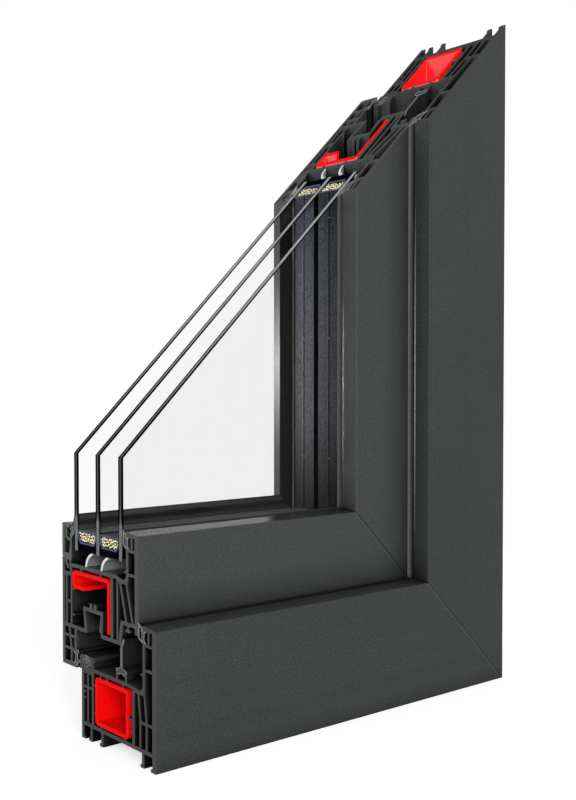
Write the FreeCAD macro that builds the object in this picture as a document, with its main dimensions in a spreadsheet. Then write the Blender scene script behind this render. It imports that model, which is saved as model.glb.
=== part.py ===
import FreeCAD, Part
import math
import os
import Sketcher

# Corner sample of an inward-opening window: plastic frame and sash with a mitred corner,
# steel in both, seals, glazing bead and a triple glass unit.
# It is cut square at the left and at 45 degrees at the top, so that the chambers show.
# While drawing, X runs from the left cut to the outer side, Y from the weather side to the
# room, and Z up from the feet. A section is drawn in depth (Y) and in height from the outer
# edge, so the same section serves the lying bars and the standing ones.

SIZES = {
    # The whole sample
    "sample_width": 255.0,
    "cut_height": 147.8,
    "tool_overrun": 20.0,
    # Walls that frame, sash and bead share
    "face_wall": 3.0,
    "visible_wall": 2.3,
    "chamber_wall": 1.9,
    "web": 1.4,
    "rib": 1.0,
    "nib_reach": 1.9,
    "edge_radius": 0.8,
    "seat_clearance": 0.1,
    # Frame section
    "frame_depth": 70.0,
    "frame_lip": 11.4,
    "lip_rise": 1.2,
    "rebate_floor": 38.1,
    "rebate_depth": 29.4,
    "rebate_dip": 1.3,
    "rebate_radius": 3.0,
    "frame_nib": 8.1,
    "foot_height": 7.2,
    "foot_stem": 1.9,
    "foot_toe": 1.4,
    "foot_front": 10.3,
    "foot_middle": 21.4,
    "foot_rear": 10.6,
    "frame_cross_low": 21.0,
    "frame_cross_high": 13.3,
    "frame_cross_rear": 26.7,
    "frame_web_one": 7.5,
    "frame_web_two": 13.0,
    "frame_web_lean": 1.7,
    "frame_web_rear": 6.9,
    "frame_chamber_front": 20.8,
    "frame_chamber_rear": 12.1,
    "frame_ribs_low": 6.9,
    "frame_ribs_front": 8.6,
    "frame_ribs_middle": 13.7,
    "frame_ribs_rear": 7.1,
    "frame_ribs_side": 6.3,
    "screw_rib": 2.0,
    "screw_rib_low": 12.6,
    "screw_rib_high": 15.8,
    # Posts and ridge that stand on the frame's rebate floor
    "post_front": 26.0,
    "post_gap": 6.8,
    "post_width": 1.5,
    "post_height": 3.9,
    "ridge_width": 11.9,
    "ridge_height": 5.4,
    "ridge_proud": 1.7,
    "ridge_step": 2.3,
    "ridge_round": 1.6,
    "ridge_hook": 0.9,
    "strip_groove_rear": 1.6,
    "strip_groove_width": 6.9,
    "strip_groove_depth": 5.9,
    "strip_lip": 1.7,
    "strip_lip_wall": 2.0,
    # Groove for a seal, the same wherever one is
    "groove_cover": 2.5,
    "groove_height": 6.0,
    "groove_depth": 4.4,
    "groove_lip": 1.3,
    "groove_lip_rise": 0.7,
    # How the sash sits in the frame
    "outer_gap": 3.8,
    "overlap_gap": 3.9,
    "overlap_lap": 8.4,
    "face_lap": 5.8,
    # Sash section, measured from its weather face and from the bottom of its overlap
    "sash_lip": 10.9,
    "sash_face_high": 75.8,
    "ledge_rise": 3.1,
    "hook_place": 8.7,
    "hook_stem": 1.2,
    "hook_reach": 4.1,
    "nose_top": 14.1,
    "nose_foot": 15.9,
    "floor_low": 20.2,
    "sash_web_one": 4.6,
    "sash_web_two": 10.4,
    "sash_web_three": 18.5,
    "sash_web_lean": 5.4,
    "sash_cross": 55.4,
    "sash_nib": 57.0,
    "sash_chamber_front": 25.4,
    "sash_chamber_rear": 10.1,
    "sash_chamber_top": 52.5,
    "sash_top_dip": 1.5,
    "sash_top_slope": 20.8,
    "sash_ribs_side": 9.9,
    "sash_rib_front": 8.5,
    "sash_web_back": 2.9,
    "sash_cross_back": 33.3,
    "sash_low_rib": 5.4,
    "sash_low_rib_reach": 2.5,
    "overlap_width": 14.6,
    "overlap_cross_low": 8.4,
    "overlap_cross_high": 15.1,
    "overlap_web": 7.0,
    "overlap_web_lean": 2.4,
    "bead_groove_front": 8.2,
    "bead_groove_depth": 4.9,
    "bead_hook": 1.0,
    "rim_rise": 2.5,
    "rim_lap": 2.6,
    # Groove for the fittings in the sash
    "fittings_centre": 43.15,
    "fittings_neck": 12.9,
    "fittings_width": 16.0,
    "fittings_neck_low": 2.7,
    "fittings_neck_high": 4.0,
    "fittings_height": 11.5,
    "screw_port_width": 6.4,
    "screw_port_slot": 1.8,
    "screw_port_height": 2.5,
    # Steel: a closed tube in the frame and a hooked section in the sash
    "steel": 2.1,
    "steel_bend": 0.5,
    "steel_end_gap": 10.0,
    "frame_steel_front": 3.8,
    "frame_steel_rear": 1.7,
    "frame_steel_low": 0.9,
    "frame_steel_top": 1.6,
    "sash_steel_front": 1.3,
    "sash_steel_rear": 0.6,
    "sash_steel_top": 1.5,
    "sash_steel_leg": 27.5,
    "sash_steel_hook": 9.5,
    "sash_steel_flange": 12.3,
    # Seals
    "seal_wall": 1.1,
    "seal_body": 1.6,
    "seal_barb": 1.5,
    "seal_barb_height": 1.3,
    "seal_lip_rise": 2.0,
    "seal_touch": 0.1,
    "seal_skin": 0.6,
    "seal_hollow_rise": 1.1,
    "seal_nib": 0.7,
    "overlap_seal_leg": 2.3,
    "centre_foot": 2.2,
    "centre_plug": 1.5,
    "centre_plug_leg": 1.2,
    "centre_arch": 3.0,
    "centre_stem": 1.4,
    "centre_knee": 1.9,
    "centre_tip": 3.5,
    "strip_round": 3.0,
    "strip_foot": 0.8,
    "strip_side": 0.7,
    "strip_slot": 0.9,
    "strip_slot_height": 2.6,
    "strip_skin": 1.1,
    # Glass unit
    "glass": 4.0,
    "glazing_gap": 2.9,
    "glass_drop": 7.4,
    "spacer_base": 4.0,
    "spacer_height": 7.0,
    "spacer_bevel": 2.0,
    "spacer_bevel_height": 2.8,
    "spacer_wall": 0.75,
    "sealant_base": 0.4,
    # Glazing bead
    "bead_width": 9.7,
    "bead_height": 17.8,
    "bead_gap": 3.5,
    "bead_seat": 0.3,
    "bead_floor": 2.2,
    "bead_lean": 0.8,
    "bead_lean_height": 2.6,
    "bead_top_rise": 0.6,
    "bead_round": 0.9,
    "bead_pocket": 4.9,
    "bead_pocket_height": 6.7,
    "bead_pocket_radius": 2.0,
    "bead_pocket_lip": 2.8,
    "bead_clip": 1.3,
    "bead_clip_place": 3.4,
    "bead_clip_reach": 3.2,
    "bead_clip_clear": 1.7,
    "bead_clip_neck": 2.6,
    "bead_seal_lip": 5.4,
    "bead_seal_knee": 1.6,
    # Two blades that stand on the sash below the glass
    "fin_rear": 49.4,
    "fin_pitch": 15.6,
    "fin_wall": 1.2,
    "fin_lean": 5.6,
    "fin_curve": 8.5,
}


class Size:
    """A length: its value now, and the sheet expression that gives it."""

    def __init__(self, value, text):
        self.value = value
        self.text = text

    def __add__(self, other):
        return Size(self.value + other.value, self.text + " + " + other.text)

    def __sub__(self, other):
        return Size(self.value - other.value, self.text + " - (" + other.text + ")")

    def __mul__(self, factor):
        return Size(self.value * factor, "(" + self.text + ") * " + str(factor))


class Sheet:
    """Gives each cell of the sheet as a Size, by its name."""

    def __getattr__(self, word):
        return Size(SIZES[word], "Sizes." + word)


def new_sheet(document):
    sheet = document.addObject("Spreadsheet::Sheet", "Sizes")
    for row, (word, number) in enumerate(SIZES.items(), start=1):
        sheet.set("A%d" % row, word)
        sheet.set("B%d" % row, str(number))
        sheet.setAlias("B%d" % row, word)
    document.recompute()


doc = FreeCAD.newDocument("WindowCorner")
new_sheet(doc)
D = Sheet()
ZERO = Size(0.0, "0")
HALF = 0.5
BODIES = []
CUTS = []
PANES = ("outer", "middle", "inner")


# Loops: lists of points, each (depth, height), or (depth, height, radius, turn) where an arc follows

ANTICLOCKWISE = 1
CLOCKWISE = -1


def box(y0, y1, h0, h1):
    return [(y0, h0), (y1, h0), (y1, h1), (y0, h1)]


def rib_up(place, wall, length):
    """A rib on a wall below it, for a loop that runs towards the room."""
    side = D.rib * HALF
    tip = wall + length
    return [(place - side, wall), (place - side, tip), (place + side, tip), (place + side, wall)]


def rib_down(place, wall, length):
    """A rib under a wall above it, for a loop that runs towards the weather side."""
    side = D.rib * HALF
    tip = wall - length
    return [(place + side, wall), (place + side, tip), (place - side, tip), (place - side, wall)]


def rib_from_back(height, wall, length):
    """A rib on a wall at the room side, for a loop that runs upwards."""
    side = D.rib * HALF
    tip = wall - length
    return [(wall, height - side), (tip, height - side), (tip, height + side), (wall, height + side)]


def rib_from_front(height, wall, length):
    """A rib on a wall at the weather side, for a loop that runs downwards."""
    side = D.rib * HALF
    tip = wall + length
    return [(wall, height + side), (tip, height + side), (tip, height - side), (wall, height - side)]


def turned(loops):
    """The loops of a lying section, laid out for an upright: the outer edge is at the right."""
    return [[(D.sample_width - point[1], point[0]) + tuple(point[2:]) for point in loop] for loop in loops]


# Sketches

def arc_middle(start, end, radius, turn):
    chord = end - start
    side = FreeCAD.Vector(chord.y, -chord.x, 0).normalize()
    half = chord.Length * HALF
    rise = radius - math.sqrt(max(radius * radius - half * half, 0.0))
    return (start + end) * HALF + side * (rise * turn)


def add_loop(sketch, points):
    """Draws a closed loop and ties every point and radius to the sheet.

    A point that is level with the one before it, or straight above it, is tied by that alone.
    """
    count = len(points)
    spots = [FreeCAD.Vector(point[0].value, point[1].value, 0) for point in points]
    shapes = []
    ends = []
    for index, point in enumerate(points):
        start = spots[index]
        end = spots[(index + 1) % count]
        if len(point) == 2:
            shapes.append(Part.LineSegment(start, end))
            ends.append((1, 2))
        else:
            shapes.append(Part.Arc(start, arc_middle(start, end, point[2].value, point[3]), end))
            ends.append((1, 2) if point[3] == ANTICLOCKWISE else (2, 1))
    first = sketch.GeometryCount
    sketch.addGeometry(shapes, False)
    rules = []
    bound = []
    for index, point in enumerate(points):
        before = (index - 1) % count
        line = first + before
        start = ends[index][0]
        straight = len(points[before]) == 2
        rules.append(Sketcher.Constraint("Coincident", line, ends[before][1], first + index, start))
        for axis, distance, level in ((0, "DistanceX", "Vertical"), (1, "DistanceY", "Horizontal")):
            if straight and point[axis].text == points[before][axis].text:
                rules.append(Sketcher.Constraint(level, line))
            else:
                bound.append((len(rules), point[axis].text))
                rules.append(Sketcher.Constraint(distance, -1, 1, first + index, start, point[axis].value))
        if len(point) > 2:
            bound.append((len(rules), point[2].text))
            rules.append(Sketcher.Constraint("Radius", first + index, point[2].value))
    offset = sketch.ConstraintCount
    sketch.addConstraint(rules)
    for place, text in bound:
        sketch.setExpression("Constraints[%d]" % (offset + place), text)


def new_sketch(body, role, name, loops):
    sketch = body.newObject("Sketcher::SketchObject", name)
    plane = [feature for feature in body.Origin.OriginFeatures if feature.Role == role][0]
    sketch.AttachmentSupport = [(plane, "")]
    sketch.MapMode = "FlatFace"
    for loop in loops:
        add_loop(sketch, loop)
    return sketch


# Bodies

def new_body(node):
    """A body whose origin is the middle of the footprint, on the plane of the feet."""
    body = doc.addObject("PartDesign::Body", node)
    body.Label = node
    body.setExpression("Placement.Base.x", "-Sizes.sample_width / 2")
    body.setExpression("Placement.Base.y", "-(" + sash_back().text + ") / 2")
    BODIES.append(body)
    return body


def pad(body, sketch, length):
    feature = body.newObject("PartDesign::Pad", "Pad")
    feature.Profile = sketch
    feature.setExpression("Length", length.text)


def cut_through(body, role, name, loops):
    """Cuts the loops right through the body, to both sides of their plane."""
    sketch = new_sketch(body, role, name, loops)
    feature = body.newObject("PartDesign::Pocket", name + "Cut")
    feature.Profile = sketch
    feature.Type = "ThroughAll"
    feature.Midplane = True
    CUTS.append(feature)


def cut_reach():
    """Above the tallest section, so that every cut across the bars reaches past it."""
    return sash_top() + D.tool_overrun


def cut_mitre(body, keep_rail):
    """Cuts along the mitre, which rises from the outer corner at 45 degrees."""
    right = D.sample_width + D.tool_overrun
    low = ZERO - D.tool_overrun
    left = D.sample_width - cut_reach()
    high = cut_reach()
    waste = (right, high) if keep_rail else (left, low)
    cut_through(body, "XZ_Plane", "Mitre", [[(right, low), waste, (left, high)]])


def cut_top(body):
    """Cuts away what is above a plane that rises at 45 degrees from the left cut."""
    left = D.sample_width - cut_reach()
    right = D.sample_width + D.tool_overrun
    high = D.cut_height + right
    cut_through(body, "XZ_Plane", "TopCut", [[(left, D.cut_height + left), (right, high), (left, high)]])


def make_rail(node, outlines, cuts):
    """A lying bar: its section runs from the left cut to the mitre."""
    body = new_body(node)
    pad(body, new_sketch(body, "YZ_Plane", "Section", outlines), D.sample_width)
    for name, loops in cuts:
        cut_through(body, "YZ_Plane", name, loops)
    cut_mitre(body, True)


def make_upright(node, outlines, cuts):
    """A standing bar: the same section runs from the mitre to the slanting top cut."""
    body = new_body(node)
    pad(body, new_sketch(body, "XY_Plane", "Section", turned(outlines)), D.cut_height + D.sample_width)
    for name, loops in cuts:
        cut_through(body, "XY_Plane", name, turned(loops))
    cut_mitre(body, False)
    cut_top(body)


def make_pair(rail, upright, outlines, cuts=()):
    make_rail(rail, outlines, cuts)
    make_upright(upright, outlines, cuts)


# Places in the section that several pieces share

def frame_top():
    """Top of the lip that stands at the frame's weather side."""
    return D.rebate_floor + D.rebate_depth + D.lip_rise


def ridge_top():
    return D.rebate_floor + D.ridge_height


def sash_y(place):
    """Depth of a place that is measured from the sash's weather face."""
    return D.frame_lip + D.outer_gap + place


def sash_h(height):
    """Height of a place that is measured from the bottom of the sash's overlap."""
    return ridge_top() - D.overlap_lap + height


def sash_top():
    return sash_h(D.sash_face_high) + D.lip_rise


def sash_floor():
    """Top of the wall that carries the glass."""
    return sash_h(D.sash_chamber_top) + D.chamber_wall


def face_low():
    """Bottom of the sash's weather face, which laps over the frame's lip."""
    return frame_top() - D.face_lap


def overlap_front():
    return D.frame_depth + D.ridge_proud + D.overlap_gap


def sash_back():
    return overlap_front() + D.overlap_width


def groove_low(top):
    """Floor of the seal groove below a lip whose top is given."""
    return top - D.groove_cover - D.groove_height


def seal_groove(mouth, low, side):
    """A groove for a seal; side is 1 if it opens towards the room and -1 if not."""
    high = low + D.groove_height
    lip = mouth - D.groove_lip * side
    back = mouth - D.groove_depth * side
    neck_low = low + D.groove_lip_rise
    neck_high = high - D.groove_lip_rise
    return [(mouth, neck_high), (lip, neck_high), (lip, high), (back, high),
            (back, low), (lip, low), (lip, neck_low), (mouth, neck_low)]


def rebate_wall(lip, dip):
    """The rounded foot of a wall, where it meets the rebate floor."""
    radius = D.rebate_radius
    return [(lip, dip + radius, radius, ANTICLOCKWISE), (lip + radius, dip)]


def weather_face(front, low, high, lip):
    """The weather face, its rounded top edge and the lip behind it, which is rounded too."""
    radius = D.edge_radius
    top = high + D.lip_rise
    return [(front, low), (front, high - radius, radius, CLOCKWISE), (front + radius, high),
            (lip - radius, top, radius, CLOCKWISE), (lip, top - radius)]


# Frame

def frame_outline():
    back = D.frame_depth
    floor = D.rebate_floor
    dip = floor - D.rebate_dip
    posts = (D.post_front, D.post_front + D.post_width + D.post_gap)
    ridge_front = back - D.ridge_width
    hook_low = ridge_top() - D.ridge_step
    hook_high = ridge_top() - D.ridge_hook
    ridge_back = back + D.ridge_proud
    step = floor - D.ridge_step
    points = weather_face(ZERO, ZERO, D.rebate_floor + D.rebate_depth, D.frame_lip)
    points += rib_from_front(dip + D.frame_nib, D.frame_lip, D.nib_reach)
    points += rebate_wall(D.frame_lip, dip)
    for post in posts:
        points += [(post, floor), (post, floor + D.post_height)]
        points += [(post + D.post_width, floor + D.post_height), (post + D.post_width, floor)]
    points += [(ridge_front, floor), (ridge_front, hook_low), (ridge_front - D.ridge_hook, hook_low)]
    points += [(ridge_front - D.ridge_hook, hook_high), (ridge_front, ridge_top())]
    points += [(ridge_back - D.ridge_round, ridge_top(), D.ridge_round, CLOCKWISE)]
    points += [(ridge_back, ridge_top() - D.ridge_round), (ridge_back, step), (back, step), (back, ZERO)]
    return points


def foot_gap(start, end, last):
    """The space between two feet; the toe of the first reaches into it, and so does the last one's."""
    toe = D.foot_toe
    high = D.foot_height
    points = [(start + toe, ZERO), (start + toe, toe), (start, toe), (start, high), (end, high)]
    if last:
        return points + [(end, toe), (end - toe, toe), (end - toe, ZERO)]
    return points + [(end, ZERO)]


def frame_foot_gaps():
    feet = [D.foot_front, D.frame_depth - D.foot_middle, D.frame_depth - D.foot_rear]
    starts = [D.face_wall] + [foot + D.foot_stem for foot in feet]
    ends = feet + [D.frame_depth - D.visible_wall]
    return [foot_gap(start, ends[index], index == len(feet)) for index, start in enumerate(starts)]


def ridge_groove():
    """The groove for the soft strip, with a lip at each side of its mouth."""
    back = D.frame_depth - D.strip_groove_rear
    front = back - D.strip_groove_width
    top = ridge_top()
    lip = top - D.strip_lip_wall
    low = top - D.strip_groove_depth
    mouth_front = front + D.strip_lip
    mouth_back = back - D.strip_lip
    return [(mouth_front, top), (mouth_front, lip), (front, lip), (front, low),
            (back, low), (back, lip), (mouth_back, lip), (mouth_back, top)]


def frame_sill():
    """Top of the wall above the feet."""
    return D.foot_height + D.chamber_wall


def frame_front_chambers():
    front = D.face_wall
    sill = frame_sill()
    dip = D.rebate_floor - D.chamber_wall - D.rebate_dip
    groove = groove_low(frame_top())
    inner = D.frame_lip - D.chamber_wall
    one = D.frame_web_one
    two = D.frame_web_two
    low = D.frame_cross_low
    upper = low + D.web
    high = groove - D.frame_cross_high
    lean = D.frame_web_lean
    turn = (inner, dip + D.rebate_radius)
    return [
        box(front, one, sill, low),
        [(front, upper), (one, upper), (one + lean, dip), turn, (inner, high), (front, high)],
        box(front, inner, high + D.web, groove - D.web),
        box(front, D.frame_lip - D.groove_depth - D.web, groove, groove + D.groove_height),
        box(one + D.web, two, sill, low),
        [(one + D.web, upper), (two, upper), (two + lean, dip), (one + lean + D.web, dip)],
    ]


def frame_steel_chamber():
    front = D.frame_chamber_front
    back = D.frame_depth - D.frame_chamber_rear
    low = frame_sill()
    high = D.rebate_floor - D.chamber_wall
    clear = D.seat_clearance
    points = [(front, low)]
    points += rib_up(front + D.frame_ribs_low, low, D.frame_steel_low - clear)
    points += rib_up(back - D.frame_ribs_rear, low, D.frame_steel_low - clear)
    points += [(back, low)]
    points += rib_from_back(low + D.frame_ribs_side, back, D.frame_steel_rear - clear)
    points += rib_from_back(high - D.frame_ribs_side, back, D.frame_steel_rear - clear)
    points += [(back, high)]
    points += rib_down(back - D.frame_ribs_rear, high, D.frame_steel_top - clear)
    points += rib_down(back - D.frame_ribs_middle, high, D.frame_steel_top - clear)
    points += rib_down(front + D.frame_ribs_front, high, D.frame_steel_top - clear)
    points += [(front, high)]
    points += rib_from_front(D.frame_cross_low, front, D.frame_steel_front - clear)
    points += rib_from_front(low + D.frame_ribs_side, front, D.rib)
    return points


def frame_slant_chamber():
    """The chamber between the second web and the wall in front of the steel."""
    two = D.frame_web_two + D.web
    sill = frame_sill()
    dip = D.rebate_floor - D.chamber_wall - D.rebate_dip
    wall = D.frame_chamber_front - D.chamber_wall
    return [(two, sill), (wall, sill), (wall, dip),
            (two + D.frame_web_lean, dip), (two, D.frame_cross_low + D.web)]


def frame_rear_chambers():
    sill = frame_sill()
    start = D.frame_depth - D.frame_chamber_rear + D.chamber_wall
    middle = D.frame_depth - D.frame_web_rear
    back = D.frame_depth - D.visible_wall
    cross = D.frame_cross_rear
    ceiling = D.rebate_floor - D.ridge_step - D.web
    screw = [(middle + D.web, sill), (back, sill)]
    screw += rib_from_back(sill + D.screw_rib_low, back, D.screw_rib)
    screw += rib_from_back(sill + D.screw_rib_high, back, D.screw_rib)
    screw += [(back, cross), (middle + D.web, cross)]
    return [
        box(start, middle, sill, cross),
        screw,
        box(start, middle, cross + D.web, ceiling),
        box(middle + D.web, back, cross + D.web, ceiling),
    ]


def make_frame():
    grooves = [seal_groove(D.frame_lip, groove_low(frame_top()), 1), ridge_groove()]
    cuts = [
        ("FootGaps", frame_foot_gaps()),
        ("Grooves", grooves),
        ("FrontChambers", frame_front_chambers()),
        ("SteelChamber", [frame_steel_chamber()]),
        ("RearChambers", [frame_slant_chamber()] + frame_rear_chambers()),
    ]
    make_pair("frame_rail", "frame_jamb", [frame_outline()], cuts)


# Sash

def ledge_low():
    return face_low() + D.ledge_rise


def hook_under_ledge():
    """An upside-down T under the ledge, for a loop that runs to the weather side."""
    stem_front = sash_y(D.hook_place)
    stem_back = stem_front + D.hook_stem
    side = (D.hook_reach - D.hook_stem) * HALF
    low = face_low()
    toe = low + D.web
    high = ledge_low()
    return [(stem_back, high), (stem_back, toe), (stem_back + side, toe), (stem_back + side, low),
            (stem_front - side, low), (stem_front - side, toe), (stem_front, toe), (stem_front, high)]


def sash_outline():
    front = sash_y(ZERO)
    lip = sash_y(D.sash_lip)
    back = sash_back()
    base = sash_h(ZERO)
    floor = sash_h(D.floor_low)
    top = sash_floor()
    dip = top - D.sash_top_dip
    rim = top + D.rim_rise
    mouth_back = back - D.visible_wall - D.bead_hook
    radius = D.edge_radius
    points = weather_face(front, face_low(), sash_h(D.sash_face_high), lip)
    points += rib_from_front(sash_h(D.sash_nib), lip, D.nib_reach)
    points += rebate_wall(lip, dip)
    points += [(sash_y(D.sash_top_slope), top), (mouth_back, top), (mouth_back, rim), (back, rim)]
    points += [(back, base + radius, radius, CLOCKWISE), (back - radius, base)]
    points += [(overlap_front(), base), (overlap_front(), floor)]
    points += [(sash_y(D.nose_foot), floor), (sash_y(D.nose_top), ledge_low())]
    points += hook_under_ledge()
    points += [(front + D.face_wall, ledge_low()), (front + D.face_wall, face_low())]
    return points


def bead_groove_front():
    return sash_back() - D.bead_groove_front


def bead_groove_floor():
    return sash_floor() - D.bead_groove_depth


def bead_groove():
    """The groove that the bead's clip hooks into."""
    front = bead_groove_front()
    back = sash_back() - D.visible_wall
    top = sash_floor()
    rim = top + D.rim_rise
    hook = D.bead_hook
    return [(front + hook, top), (front + hook, top - D.web), (front, top - D.web - hook),
            (front, bead_groove_floor()), (back, bead_groove_floor()), (back, rim - D.rim_lap),
            (back - hook, rim - D.web), (back - hook, top)]


def fittings_groove():
    """The groove for the fittings: its walls lean in towards a neck, with a step at the weather side."""
    centre = sash_y(D.fittings_centre)
    neck = D.fittings_neck * HALF
    wide = D.fittings_width * HALF
    low = sash_h(D.floor_low)
    step = low + D.fittings_neck_low
    neck_high = low + D.fittings_neck_high
    high = low + D.fittings_height
    return [(centre - wide, low), (centre - wide, step), (centre - neck, step), (centre - neck, neck_high),
            (centre - wide, high), (centre + wide, high), (centre + neck, neck_high), (centre + neck, low)]


def sash_front_chambers():
    front = sash_y(D.face_wall)
    lip = sash_y(D.sash_lip)
    inner = lip - D.chamber_wall
    ceiling = sash_floor() - D.chamber_wall
    dip = ceiling - D.sash_top_dip
    low = ledge_low() + D.chamber_wall
    floor = sash_h(D.floor_low) + D.chamber_wall
    cross = sash_h(D.sash_cross)
    groove = groove_low(sash_top())
    lean = D.sash_web_lean
    one = sash_y(D.sash_web_one)
    two = sash_y(D.sash_web_two)
    three = sash_y(D.sash_web_three)
    nose_low = (sash_y(D.nose_foot) + D.chamber_wall, floor)
    nose_high = (sash_y(D.nose_top) + D.chamber_wall, low)
    turn = (inner, dip + D.rebate_radius)
    chamber_front = sash_y(D.sash_chamber_front) - D.chamber_wall
    return [
        box(front, lip - D.groove_depth - D.web, groove, groove + D.groove_height),
        box(front, inner, cross + D.web, groove - D.web),
        [(front, low), (one, low), (one + lean, dip), turn, (inner, cross), (front, cross)],
        [(one + D.web, low), (two, low), (two + lean, dip), (one + lean + D.web, dip)],
        [(two + D.web, low), nose_high, nose_low, (three, floor), (three, dip), (two + lean + D.web, dip)],
        box(three + D.web, chamber_front, floor, ceiling),
    ]


def sash_steel_chamber():
    """The chamber round the steel; the fittings groove and its screw port stand up into it."""
    front = sash_y(D.sash_chamber_front)
    back = sash_back() - D.sash_chamber_rear
    floor = sash_h(D.floor_low) + D.chamber_wall
    ceiling = sash_floor() - D.chamber_wall
    centre = sash_y(D.fittings_centre)
    side = D.fittings_width * HALF + D.chamber_wall
    step = D.fittings_width * HALF + D.web
    foot = D.fittings_neck * HALF + D.chamber_wall
    roof = sash_h(D.floor_low) + D.fittings_height + D.chamber_wall
    port = D.screw_port_width * HALF
    port_top = roof + D.screw_port_height
    slot = D.screw_port_slot * HALF
    clear = D.seat_clearance
    hook_rib = ceiling - D.sash_steel_top - D.sash_steel_hook - clear - D.rib * HALF
    points = [(front, floor), (centre - step, floor), (centre - side, roof)]
    points += [(centre - port, roof), (centre - port, port_top)]
    points += [(centre - slot, port_top), (centre - slot, roof)]
    points += [(centre + slot, roof), (centre + slot, port_top)]
    points += [(centre + port, port_top), (centre + port, roof)]
    points += [(centre + side, roof), (centre + foot, floor), (back, floor)]
    points += rib_from_back(floor + D.sash_low_rib, back, D.sash_low_rib_reach)
    points += rib_from_back(hook_rib, back, D.sash_low_rib_reach)
    points += [(back, ceiling)]
    points += rib_down(back - D.sash_ribs_side, ceiling, D.sash_steel_top - clear)
    points += rib_down(front + D.sash_ribs_side, ceiling, D.sash_steel_top - clear)
    points += [(front, ceiling)]
    points += rib_from_front(ceiling - D.sash_rib_front, front, D.sash_steel_front - clear)
    return points


def sash_rear_chambers():
    start = sash_back() - D.sash_chamber_rear + D.web
    back = sash_back() - D.visible_wall
    web = back - D.sash_web_back
    floor = sash_h(D.floor_low) + D.chamber_wall
    cross = sash_h(D.sash_cross_back)
    ceiling = bead_groove_floor() - D.chamber_wall
    return [
        box(start, web, floor, cross),
        box(start, web, cross + D.web, ceiling),
        box(web + D.web, back, floor, ceiling),
    ]


def overlap_chambers():
    front = overlap_front() + D.chamber_wall
    back = sash_back() - D.visible_wall
    top = sash_h(D.floor_low)
    high = sash_h(D.overlap_cross_high)
    low = sash_h(D.overlap_cross_low) + D.web
    web = overlap_front() + D.overlap_web
    half_way = web - D.overlap_web_lean * HALF
    foot = web - D.overlap_web_lean
    behind_seal = overlap_front() + D.groove_depth + D.web
    base = sash_h(D.visible_wall)
    upper = high + D.web
    return [
        [(front, upper), (half_way, upper), (web, top), (front, top)],
        [(half_way + D.web, upper), (back, upper), (back, top), (web + D.web, top)],
        [(front, low), (foot, low), (half_way, high), (front, high)],
        [(foot + D.web, low), (back, low), (back, high), (half_way + D.web, high)],
        box(behind_seal, back, base, low - D.web),
    ]


def make_sash():
    front_groove = seal_groove(sash_y(D.sash_lip), groove_low(sash_top()), 1)
    overlap_groove = seal_groove(overlap_front(), sash_h(D.visible_wall), -1)
    cuts = [
        ("Grooves", [front_groove, overlap_groove, bead_groove()]),
        ("FittingsGroove", [fittings_groove()]),
        ("FrontChambers", sash_front_chambers()),
        ("SteelChamber", [sash_steel_chamber()]),
        ("RearChambers", sash_rear_chambers() + overlap_chambers()),
    ]
    make_pair("sash_rail", "sash_stile", [sash_outline()], cuts)


# Steel

def bend_outside(y, h, in_y, in_h, out_y, out_h):
    """An outer corner of a clockwise loop: where its arc starts and ends."""
    radius = D.steel_bend + D.steel
    return [(y - radius * in_y, h - radius * in_h, radius, CLOCKWISE),
            (y + radius * out_y, h + radius * out_h)]


def bend_inside(y, h, in_y, in_h, out_y, out_h):
    """An inner corner of the same sheet, anticlockwise."""
    radius = D.steel_bend
    return [(y - radius * in_y, h - radius * in_h, radius, ANTICLOCKWISE),
            (y + radius * out_y, h + radius * out_h)]


def make_cut_short_pair(rail, upright, loops, top):
    """Steel bars that stop square before the mitre."""
    stop = top + D.steel_end_gap
    body = new_body(rail)
    pad(body, new_sketch(body, "YZ_Plane", "Section", loops), D.sample_width - stop)
    body = new_body(upright)
    sketch = new_sketch(body, "XY_Plane", "Section", turned(loops))
    sketch.setExpression("AttachmentOffset.Base.z", stop.text)
    pad(body, sketch, D.cut_height + D.sample_width - stop)
    cut_top(body)


def make_frame_steel():
    y0 = D.frame_chamber_front + D.frame_steel_front
    y1 = D.frame_depth - D.frame_chamber_rear - D.frame_steel_rear
    h0 = frame_sill() + D.frame_steel_low
    h1 = D.rebate_floor - D.chamber_wall - D.frame_steel_top
    wall = D.steel
    outer = bend_outside(y0, h1, 0, 1, 1, 0)
    outer += bend_outside(y1, h1, 1, 0, 0, -1)
    outer += bend_outside(y1, h0, 0, -1, -1, 0)
    outer += bend_outside(y0, h0, -1, 0, 0, 1)
    inner = bend_inside(y0 + wall, h0 + wall, 0, -1, 1, 0)
    inner += bend_inside(y1 - wall, h0 + wall, 1, 0, 0, 1)
    inner += bend_inside(y1 - wall, h1 - wall, 0, 1, -1, 0)
    inner += bend_inside(y0 + wall, h1 - wall, -1, 0, 0, -1)
    make_cut_short_pair("frame_rail_steel", "frame_jamb_steel", [outer, inner], h1)


def make_sash_steel():
    wall = D.steel
    y0 = sash_y(D.sash_chamber_front) + D.sash_steel_front
    y1 = sash_back() - D.sash_chamber_rear - D.sash_steel_rear
    h1 = sash_floor() - D.chamber_wall - D.sash_steel_top
    leg = h1 - D.sash_steel_leg
    hook = h1 - D.sash_steel_hook
    flange = y1 - D.sash_steel_flange
    points = [(y0, leg)]
    points += bend_outside(y0, h1, 0, 1, 1, 0)
    points += bend_outside(y1, h1, 1, 0, 0, -1)
    points += bend_outside(y1, hook, 0, -1, -1, 0)
    points += [(flange, hook), (flange, hook + wall)]
    points += bend_inside(y1 - wall, hook + wall, 1, 0, 0, 1)
    points += bend_inside(y1 - wall, h1 - wall, 0, 1, -1, 0)
    points += bend_inside(y0 + wall, h1 - wall, -1, 0, 0, -1)
    points += [(y0 + wall, leg)]
    make_cut_short_pair("sash_rail_steel", "sash_stile_steel", [points], h1)


# Seals

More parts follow.
